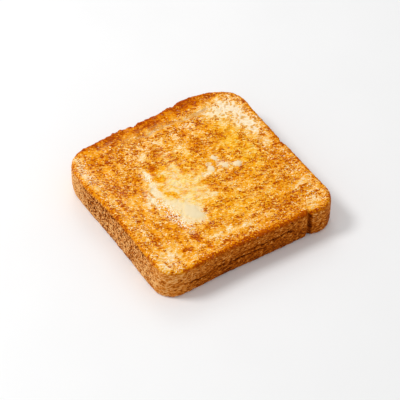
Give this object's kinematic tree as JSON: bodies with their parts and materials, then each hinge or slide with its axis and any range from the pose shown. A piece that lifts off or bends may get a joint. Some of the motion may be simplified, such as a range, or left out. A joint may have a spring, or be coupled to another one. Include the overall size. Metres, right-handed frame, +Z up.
{
  "type": "buttered toast",
  "caption": "Square slice of browned toast with a rounded crust and creased sides, lying flat, with a half-melted pat of butter and small flecks of it on the crumb.",
  "frame": {"origin": "centre of the object's box in plan, on the surface that the slice lies on", "axes": "+Z up through the slice's thickness; +Y from the base of the loaf to its crown; +X to the slice's right, the side with the deep crease near the crown"},
  "size_m": [0.1118, 0.1102, 0.0193],
  "materials": {
    "bread": null,
    "butter": null
  },
  "bodies": {
    "root": {"bread": "bread", "butter_pat": "butter", "butter_fleck_1": "butter", "butter_fleck_2": "butter", "butter_fleck_3": "butter", "butter_fleck_4": "butter"}
  },
  "joints": []
}
